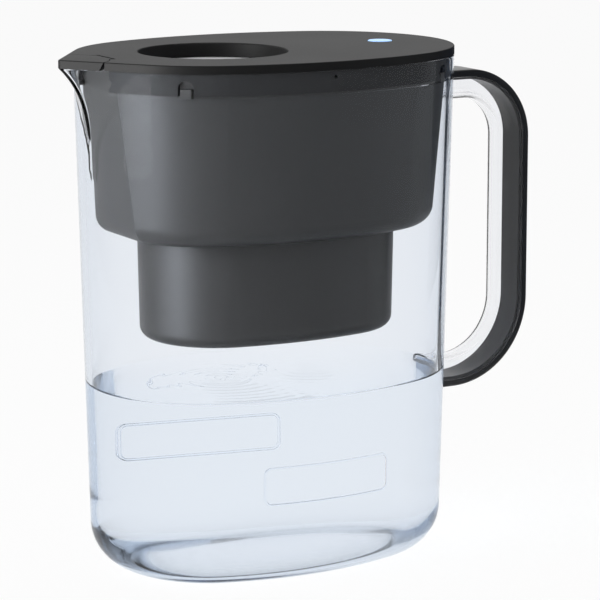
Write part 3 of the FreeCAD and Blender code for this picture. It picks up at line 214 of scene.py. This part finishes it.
# a low bend and sheen keep the thick base light and what is behind the wall in place
clearPlastic = {
    "tint": (0.985, 0.99, 1.0), "bend": 1.15, "rough": 0.0, "spread": 0.01, "cloud": 30.0, "cloudDetail": 2.0,
    "relief": 0.01, "reliefDepth": 0.0004, "shadow": (0.93, 0.95, 0.98), "depthTint": (0.1, 0.28, 0.5),
    "depth": 22.0, "sheen": (0.2, 0.2, 0.2),
}
clearLooks = {
    "clearPlastic": clearPlastic,
    "clearHandle": dict(clearPlastic, bend=1.32, depthTint=(0.2, 0.22, 0.26), depth=16.0, sheen=(0.6, 0.6, 0.6)),
    "water": dict(clearPlastic, tint=(1.0, 1.0, 1.0), bend=1.18, spread=0.005, cloud=40.0,
                  shadow=(0.97, 0.98, 1.0), depthTint=(0.3, 0.6, 0.85), depth=0.7, sheen=(0.8, 0.8, 0.8)),
    "clearFrame": dict(clearPlastic, bend=1.42),
}
finishes = {name: mouldedFinish(name, look) for name, look in looks.items()}
finishes.update({name: clearFinish(name, look) for name, look in clearLooks.items()})

slotFinish = {
    "clear_plastic": "clearPlastic", "grip_plastic": "gripPlastic", "smoked_plastic": "smokedPlastic",
    "lid_plastic": "lidPlastic", "pale_plastic": "palePlastic", "black_plastic": "blackPlastic",
    "carbon": "carbon", "seal_rubber": "sealRubber", "steel": "steel", "board": "boardMask",
    "contact_metal": "contactMetal", "cell_metal": "cellMetal", "led_lens": "ledLens", "lit_lens": "litLens",
}
for row in frame["record"]["subparts"]:
    part = nodes[row["node"]]
    part.data.materials.clear()
    part.data.materials.append(finishes[slotFinish[row["material_slot"]]])
print("materials set")

# meshes: metres within which points are one, and the angle over which an edge stays sharp
meshing = {"weld": 1e-7, "crease": 32.0}


# quads of a grid of rings, each ring closed on itself
def ringFaces(rings):
    rows, columns = rings.shape[:2]
    index = np.arange(rows * columns).reshape(rows, columns)
    after = np.roll(index, -1, axis=1)
    return np.stack([index[:-1], after[:-1], after[1:], index[1:]], axis=-1).reshape(-1, 4)


# a mesh from points in millimetres and quads, poles welded, smooth but for edges sharper than the crease
def makePiece(name, points, faces, finish, body, crease=meshing["crease"]):
    mesh = bpy.data.meshes.new(name)
    places = np.ascontiguousarray(points.reshape(-1, 3) * mm, np.float32)
    mesh.vertices.add(len(places))
    mesh.vertices.foreach_set("co", places.ravel())
    mesh.loops.add(faces.size)
    mesh.loops.foreach_set("vertex_index", np.ascontiguousarray(faces, np.int32).ravel())
    mesh.polygons.add(len(faces))
    mesh.polygons.foreach_set("loop_start", np.arange(0, faces.size, 4, dtype=np.int32))
    mesh.update(calc_edges=True)
    work = bmesh.new()
    work.from_mesh(mesh)
    bmesh.ops.remove_doubles(work, verts=work.verts, dist=meshing["weld"])
    bmesh.ops.recalc_face_normals(work, faces=work.faces)
    work.to_mesh(mesh)
    work.free()
    mesh.shade_smooth()
    mesh.set_sharp_from_angle(angle=math.radians(crease))
    mesh.materials.append(finishes[finish])
    piece = bpy.data.objects.new(name, mesh)
    scene.collection.objects.link(piece)
    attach(piece, body)
    print("made", name, len(mesh.polygons), "faces")
    return piece


# jug sizes in millimetres, as the solids have them, then the columns and rows of its grid
jug = {
    "halfLength": 102.0, "halfWidth": 73.5, "endRadius": 68.0, "rim": 263.6, "baseInset": 6.4, "baseRound": 24.0,
    "wall": 3.4, "rimWall": 2.0, "ledge": 251.4, "floor": 4.5, "footWidth": 7.0, "footRecess": 1.2,
    "reach": 14.8, "flare": 4, "tip": 3.0, "fall": 58.0, "sink": 0.15, "spoutWall": 2.6, "rimRound": 0.5,
    "endColumns": 100, "sideColumns": 64, "flankColumns": 26, "spoutColumns": 30, "tipColumns": 12,
    "spoutTurn": 0.66, "tipTurn": 0.05, "bendRows": 18, "lowRows": 12, "highRows": 34, "crowding": 1.4,
    "rimRows": 5, "lipRows": 8, "floorShares": (0.0, 0.35, 0.7), "turnLimit": 1.3, "slack": 1e-9,
}
endCentre = jug["halfLength"] - jug["endRadius"]
sideRadius = ((jug["halfLength"] ** 2 + jug["halfWidth"] ** 2 - 2 * jug["halfLength"] * jug["endRadius"])
              / (2 * (jug["halfWidth"] - jug["endRadius"])))
sideDrop = sideRadius - jug["halfWidth"]
arcTurn = math.atan2(sideDrop, endCentre)


# columns round the oval by normal angle, closer together along the spout
def ovalColumns():
    stops = (arcTurn, jug["spoutTurn"], jug["tipTurn"], 0.0)
    counts = (jug["flankColumns"], jug["spoutColumns"], jug["tipColumns"])
    end = np.linspace(-arcTurn, arcTurn, jug["endColumns"], endpoint=False)
    back = np.linspace(arcTurn, math.pi - arcTurn, jug["sideColumns"], endpoint=False)
    half = np.concatenate([np.linspace(math.pi - start, math.pi - stop, count, endpoint=False)
                           for start, stop, count in zip(stops, stops[1:], counts)])
    return np.concatenate([end, back, half, [math.pi], 2 * math.pi - half[::-1], 2 * math.pi - back[::-1]])


columns = ovalColumns()


# distance from the end arc's centre to the nose: tip arc, then two lines tangent to the end circle
def noseDistance(away, end, place):
    stretch = place - jug["tip"] - endCentre
    lean = np.arccos(np.clip((end - jug["tip"]) / stretch, -1.0, 1.0))
    edge = end / np.cos(np.clip(away - lean, -jug["turnLimit"], jug["turnLimit"]))
    under = np.maximum(jug["tip"] ** 2 - (stretch * np.sin(away)) ** 2, 0.0)
    point = stretch * np.cos(away) + np.sqrt(under)
    tipTurn = np.arctan2(jug["tip"] * np.sin(lean), stretch + jug["tip"] * np.cos(lean))
    return np.where(away < lean, np.where(away < tipTurn, point, edge), 0.0)


# rings of the oval: arc centre plus radius less inset along the normal angle, drawn out to the nose at the spout
def ovalRings(inset, height, noseInset=None):
    angle = columns[None, :]
    inset = np.asarray(inset, float)[:, None]
    height = np.asarray(height, float)[:, None]
    isEnd = np.abs(np.sin(angle)) <= math.sin(arcTurn) + jug["slack"]
    radius = np.where(isEnd, jug["endRadius"], sideRadius) - inset
    if noseInset is not None:
        noseInset = np.asarray(noseInset, float)[:, None]
        share = np.clip((height - jug["rim"] + jug["fall"]) / jug["fall"], 0.0, 1.0)
        end = jug["endRadius"] - noseInset - jug["sink"]
        place = jug["halfLength"] - noseInset - jug["sink"] / 2 + jug["reach"] * share ** jug["flare"]
        nose = noseDistance(np.abs(angle - math.pi), end, place) * (share > 0)
        radius = np.where(isEnd & (np.cos(angle) < 0), np.maximum(radius, nose), radius)
    x = np.where(isEnd, np.sign(np.cos(angle)) * endCentre, 0.0) + radius * np.cos(angle)
    y = np.where(isEnd, 0.0, -np.sign(np.sin(angle)) * sideDrop) + radius * np.sin(angle)
    return np.stack([x, y, np.broadcast_to(height, x.shape)], axis=-1)


# how far the wall's draft brings it in at a height
def drawIn(height):
    return jug["baseInset"] * (1 - np.asarray(height, float) / jug["rim"])


# rows of a wall that leans by its draft and meets the floor in a round: inset and height from floor up
def wallRows(floorZ, extra, bend, top):
    slope = jug["baseInset"] / jug["rim"]
    middle = drawIn(floorZ + bend) + extra + bend * math.hypot(1.0, slope)
    turn = np.linspace(0.0, 1.0, jug["bendRows"]) * (math.pi / 2 - math.atan(slope))
    inset = middle - bend * np.sin(turn)
    height = floorZ + bend - bend * np.cos(turn)
    low = np.linspace(height[-1], jug["rim"] - jug["fall"], jug["lowRows"])[1:]
    high = top - (top - low[-1]) * np.linspace(1.0, 0.0, jug["highRows"])[1:] ** jug["crowding"]
    walls = np.concatenate([low, high])
    return np.concatenate([inset, drawIn(walls) + extra]), np.concatenate([height, walls])


def innerRows():
    return wallRows(jug["floor"], jug["wall"], jug["baseRound"] - jug["wall"], jug["ledge"])


# rings drawn together to the middle
def closeIn(ring, shares):
    flat = ring[None] * np.array([1.0, 1.0, 0.0]) * np.asarray(shares)[:, None, None]
    return flat + np.array([0.0, 0.0, ring[0, 2]])


def buildJug():
    shoulder = jug["rim"] - jug["rimRound"]
    outInset, outZ = wallRows(0.0, 0.0, jug["baseRound"], shoulder)
    inInset, inZ = innerRows()
    outer = ovalRings(outInset, outZ, drawIn(outZ))
    inner = ovalRings(inInset, inZ, drawIn(inZ) + jug["spoutWall"])
    bend = np.linspace(0.0, math.pi / 2, jug["rimRows"])[1:]
    curve = jug["rimRound"] * (1 - np.cos(bend))
    rise = shoulder + jug["rimRound"] * np.sin(bend)
    lipOut = ovalRings(drawIn(rise) + curve, rise, drawIn(rise) + curve)
    fallIn = np.concatenate([rise[::-1], np.linspace(shoulder, jug["ledge"], jug["lipRows"])])
    curveIn = np.concatenate([curve[::-1], np.zeros(jug["lipRows"])])
    lipIn = ovalRings(jug["rimWall"] - curveIn, fallIn, drawIn(fallIn) + jug["spoutWall"] - curveIn)
    footInset = jug["baseInset"] + jug["baseRound"] + jug["footWidth"]
    foot = ovalRings([footInset, footInset], [jug["footRecess"], 0.0])
    under = closeIn(foot[0], jug["floorShares"])
    floor = closeIn(inner[0], jug["floorShares"][::-1])
    rings = np.concatenate([under, foot, outer, lipOut, lipIn, inner[::-1], floor])
    piece = makePiece("jug_shell", rings, ringFaces(rings), "clearPlastic", "jug")
    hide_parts("jug")


buildJug()

# still water: fills the jug to a level, rises a little at the wall, and has faint rings under the outlets
water = {
    "level": 97.0, "overlap": 0.06, "wallGap": 1.0, "meniscus": 1.6, "meniscusReach": 1.4, "meniscusRows": 9,
    "topRows": 90, "rings": ((-26.0, 0.0), (26.0, 0.0)), "ringHeight": 0.9, "ringLength": 6.5, "ringFade": 13.0,
    "crease": 60.0,
}


def buildWater():
    inInset, inZ = innerRows()
    below = inZ < water["level"] - water["wallGap"]
    inset = np.concatenate([inInset[below], [float(drawIn(water["level"])) + jug["wall"]]]) - water["overlap"]
    height = np.concatenate([inZ[below], [water["level"] + water["meniscus"]]])
    side = ovalRings(inset, height)
    side[0, :, 2] -= water["overlap"]
    bend = np.linspace(0.0, math.pi / 2, water["meniscusRows"])[1:]
    reach = water["meniscus"] * (1 - np.cos(bend)) * water["meniscusReach"]
    edge = ovalRings(inset[-1] + water["overlap"] + reach,
                     water["level"] + water["meniscus"] * (1 - np.sin(bend)))
    top = closeIn(edge[-1], np.linspace(1.0, 0.0, water["topRows"])[1:])
    # each ring set: a cosine of the distance from its middle, dying away outward
    for x, y in water["rings"]:
        away = np.hypot(top[..., 0] - x, top[..., 1] - y)
        wave = np.cos(2 * math.pi * away / water["ringLength"]) * np.exp(-away / water["ringFade"])
        top[..., 2] += water["ringHeight"] * wave
    bottom = closeIn(side[0], jug["floorShares"])
    rings = np.concatenate([bottom, side, edge, top])
    makePiece("water", rings, ringFaces(rings), "water", "jug", water["crease"])


buildWater()

# handle loop: a U channel and its cover carried along one path of straight runs and bends
handle = {
    "line": 152.0, "top": 247.2, "low": 83.8, "topBend": 34.2, "lowBend": 42.2, "half": 11.0, "depth": 12.0,
    "wall": 2.5, "round": 8.0, "cover": 3.8, "coverRound": 1.4, "tongue": 8.2, "tongueDepth": 1.4, "seat": 0.1,
    "topStations": 28, "lowStations": 32, "channelPoints": 12, "coverPoints": 7, "seatPoints": 6,
}
mirrored = (-1.0, 1.0)


# where the jug's outer wall stands at a width and height
def wallX(y, z):
    return endCentre + np.sqrt((jug["endRadius"] - drawIn(z)) ** 2 - y ** 2)


# stations along the loop: place and inward direction in the XZ plane
def loopStations():
    turnTop = np.linspace(math.pi / 2, 0.0, handle["topStations"])
    turnLow = np.linspace(0.0, -math.pi / 2, handle["lowStations"])
    x = np.concatenate([handle["line"] - handle["topBend"] * (1 - np.cos(turnTop)),
                        handle["line"] - handle["lowBend"] * (1 - np.cos(turnLow))])
    z = np.concatenate([handle["top"] - handle["topBend"] * (1 - np.sin(turnTop)),
                        handle["low"] + handle["lowBend"] * (1 + np.sin(turnLow))])
    inward = np.concatenate([turnTop, turnLow])
    return x, z, -np.cos(inward), -np.sin(inward)


# a closed profile of two lines of equal length, carried along the loop, its ends on the jug's wall
def sweepLoop(name, first, second, finish, node):
    profile = np.concatenate([first, second[::-1]])
    y, deep = profile[:, 0], profile[:, 1]
    x, z, inX, inZ = loopStations()
    points = np.empty((len(x) + 2, len(profile), 3))
    points[1:-1, :, 0] = x[:, None] + inX[:, None] * deep
    points[1:-1, :, 1] = y
    points[1:-1, :, 2] = z[:, None] + inZ[:, None] * deep
    for row, side in ((0, 1), (-1, -2)):
        points[row] = points[side]
        points[row, :, 0] = wallX(y, points[side, :, 2])
    count = len(profile)
    pairs = np.arange(len(first) - 1)
    cap = np.stack([pairs, pairs + 1, count - 2 - pairs, count - 1 - pairs], axis=-1)
    far = (cap + (len(points) - 1) * count)[:, ::-1]
    faces = np.concatenate([ringFaces(points), cap, far])
    piece = makePiece(name, points, faces, finish, "jug")
    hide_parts(node)


# U line: side, round corner, floor, round corner, side; the depth runs inward
def channelLine(thinner):
    half, depth, bend = (handle[key] - thinner for key in ("half", "depth", "round"))
    turn = np.linspace(0.0, math.pi / 2, handle["channelPoints"])
    corner = np.stack([-(half - bend) - bend * np.cos(turn), depth - bend + bend * np.sin(turn)], axis=-1)
    left = np.concatenate([[(-half, 0.0)], corner])
    return np.concatenate([left, left[::-1] * mirrored])


# the cover's crown with its round edges, and its seat with the tongue that goes into the channel
def coverLines():
    turn = np.linspace(0.0, math.pi / 2, handle["coverPoints"])
    bend = handle["coverRound"]
    corner = np.stack([-(handle["half"] - bend) - bend * np.cos(turn),
                       -(handle["cover"] - bend) - bend * np.sin(turn)], axis=-1)
    crown = np.concatenate([corner, corner[::-1] * mirrored])
    steps = np.linspace(-handle["half"], -handle["tongue"], handle["seatPoints"])
    seat = np.stack([steps, np.full(len(steps), -handle["seat"])], axis=-1)
    left = np.concatenate([seat, [(-handle["tongue"], handle["tongueDepth"])]])
    return crown, np.concatenate([left, left[::-1] * mirrored])


sweepLoop("handle_loop", channelLine(0.0), channelLine(handle["wall"]), "clearHandle",
          "handle_channel")
crownLine, seatLine = coverLines()
sweepLoop("handle_grip", crownLine, seatLine, "gripPlastic", "handle_cover")

# bare raised frames on the front and back walls
plate = {
    "left": -36.4, "right": 34.3, "low": 45.0, "high": 64.0, "corner": 3.6, "width": 1.4, "rise": 0.7,
    "sink": 0.25, "cornerPoints": 8, "stretchPoints": 5, "ridgePoints": 7, "crease": 50.0,
}


# a rounded rectangle as width and height on the wall, each stretch between its points divided
def framePath():
    turn = np.linspace(0.0, math.pi / 2, plate["cornerPoints"])
    bend = plate["corner"]
    centres = ((plate["right"] - bend, plate["high"] - bend), (plate["left"] + bend, plate["high"] - bend),
               (plate["left"] + bend, plate["low"] + bend), (plate["right"] - bend, plate["low"] + bend))
    path = np.concatenate([np.stack([x + bend * np.cos(turn + quarter * math.pi / 2),
                                     z + bend * np.sin(turn + quarter * math.pi / 2)], axis=-1)
                           for quarter, (x, z) in enumerate(centres)])
    return np.concatenate([np.linspace(start, stop, plate["stretchPoints"], endpoint=False)
                           for start, stop in zip(path, np.roll(path, -1, axis=0))])


# a low ridge carried along that path, on the front wall at side -1 or the back wall at side 1
def buildFrame(name, side):
    path = framePath()
    along = np.roll(path, -1, axis=0) - np.roll(path, 1, axis=0)
    along /= np.linalg.norm(along, axis=1)[:, None]
    across = np.stack([along[:, 1], -along[:, 0]], axis=-1)
    ridge = np.linspace(0.0, math.pi, plate["ridgePoints"])
    half = plate["width"] / 2
    offset = np.concatenate([half * np.cos(ridge), [-half, half]])
    lift = np.concatenate([plate["rise"] * np.sin(ridge), [-plate["sink"], -plate["sink"]]])
    x = path[:, None, 0] + across[:, None, 0] * offset
    z = path[:, None, 1] + across[:, None, 1] * offset
    y = np.sqrt((sideRadius - drawIn(z) + lift) ** 2 - x ** 2) - sideDrop
    points = np.stack([x, side * y, z], axis=-1)
    points = np.concatenate([points, points[:1]])
    makePiece(name, points, ringFaces(points), "clearFrame", "jug", plate["crease"])


buildFrame("front_frame", -1.0)
buildFrame("back_frame", 1.0)

# pale floor and soft studio light; the floor shows white but for the share that keeps the shadow
white = (1.0, 1.0, 1.0)
studio = {"floor": 6.0, "floorDrop": 0.0002, "floorTone": (0.9, 0.9, 0.9), "floorShow": 0.95, "dome": 0.08}


# a flat piece of the studio, not part of the object
def stagePiece(name, points, face):
    mesh = bpy.data.meshes.new(name)
    mesh.from_pydata(points, [], [face])
    piece = bpy.data.objects.new(name, mesh)
    scene.collection.objects.link(piece)
    return piece


def buildFloor():
    side, low = studio["floor"], -studio["floorDrop"]
    corners = [(-side, -side, low), (side, -side, low), (side, side, low), (-side, side, low)]
    floor = stagePiece("floor", corners, (0, 1, 2, 3))
    material, kit = startMaterial("paleFloor")
    matt = kit.node("ShaderNodeBsdfDiffuse", None, {"Color": opaque(studio["floorTone"])})
    shown = kit.node("ShaderNodeEmission", None, {"Color": opaque(white), "Strength": 1.0})
    endMaterial(kit, kit.mixShader(kit.showsBackground() * studio["floorShow"], matt, shown))
    floor.data.materials.append(material)


def buildWorld():
    world = bpy.data.worlds.new("studioWorld")
    scene.world = world
    world.use_nodes = True
    world.node_tree.nodes.clear()
    kit = Shade(world.node_tree)
    dome = kit.node("ShaderNodeBackground", None, {"Color": opaque(white), "Strength": studio["dome"]})
    shown = kit.node("ShaderNodeBackground", None, {"Color": opaque(white), "Strength": 1.0})
    mixed = kit.mixShader(kit.showsBackground(), dome, shown)
    kit.node("ShaderNodeOutputWorld", None, {"Surface": mixed})


# dark screens on the camera's side and the right, painting dark reflections in place of the unlit end of a
# studio: seen only after a reflection, and the upper one also where a reflection leaves through the clear wall;
# corners are right of and beyond the jug
darkReflectionScreen = {"low": 0.0, "high": 0.75, "tone": (0.05, 0.1, 0.2), "through": False}
screens = {
    "frontScreen": dict(darkReflectionScreen, corners=((-0.5, -0.5), (0.45, -0.5))),
    "sideScreen": dict(darkReflectionScreen, corners=((0.45, -0.5), (0.45, 1.2))),
    "upperScreen": {"corners": ((0.455, 0.2), (0.455, 1.2)), "low": 0.04, "high": 0.24,
                    "tone": (0.09, 0.093, 0.1), "through": True},
}


def buildScreen(name, look):
    turn = math.radians(view["turn"])
    corners = [(across * math.cos(turn) - beyond * math.sin(turn),
                across * math.sin(turn) + beyond * math.cos(turn), height)
               for height in (look["low"], look["high"]) for across, beyond in look["corners"]]
    card = stagePiece(name, corners, (0, 1, 3, 2))
    material, kit = startMaterial(name)
    # painted reflection: the dark tone shows only after a glossy bounce and paints shade into reflections;
    # elsewhere the card is transparent
    matt = kit.node("ShaderNodeBsdfDiffuse", None, {"Color": opaque(look["tone"])})
    unseen = kit.node("ShaderNodeBsdfTransparent")
    endMaterial(kit, kit.mixShader(kit.lightPath("Glossy Depth") > kit.switch, unseen, matt))
    card.data.materials.append(material)
    card.visible_camera = False
    card.visible_diffuse = False
    card.visible_transmission = look["through"]
    card.visible_shadow = False


# soft boxes: where they stand, what they face, power, and whether they light matt and glossy surfaces
leftBox = {"place": (-1.1, -0.05, 0.33), "aim": (0.0, 0.0, 0.17), "width": 0.66, "height": 0.66,
           "power": 9.5, "matt": True, "gloss": True}
lamps = {
    "leftBox": leftBox,
    "leftSheen": dict(leftBox, power=45.0, matt=False),
    "rightStrip": {"place": (1.1, -0.75, 0.35), "aim": (0.0, 0.0, 0.17), "width": 0.2, "height": 0.9,
                   "power": 3.0, "matt": True, "gloss": True},
    "topBox": {"place": (0.1, 0.2, 1.5), "aim": (0.0, 0.0, 0.2), "width": 1.2, "height": 1.2,
               "power": 8.0, "matt": True, "gloss": False},
}


def buildLamp(name, look):
    lamp = bpy.data.lights.new(name, "AREA")
    lamp.shape = "RECTANGLE"
    lamp.size = look["width"]
    lamp.size_y = look["height"]
    lamp.energy = look["power"]
    box = bpy.data.objects.new(name, lamp)
    box.location = look["place"]
    box.visible_diffuse = look["matt"]
    box.visible_glossy = look["gloss"]
    box.visible_transmission = False
    x, y, z = np.array(look["aim"]) - np.array(look["place"])
    box.rotation_euler = (math.atan2(math.hypot(x, y), -z), 0.0, math.atan2(-x, y))
    scene.collection.objects.link(box)


buildFloor()
buildWorld()
for name, look in screens.items():
    buildScreen(name, look)
for name, look in lamps.items():
    buildLamp(name, look)
print("stage and light set")
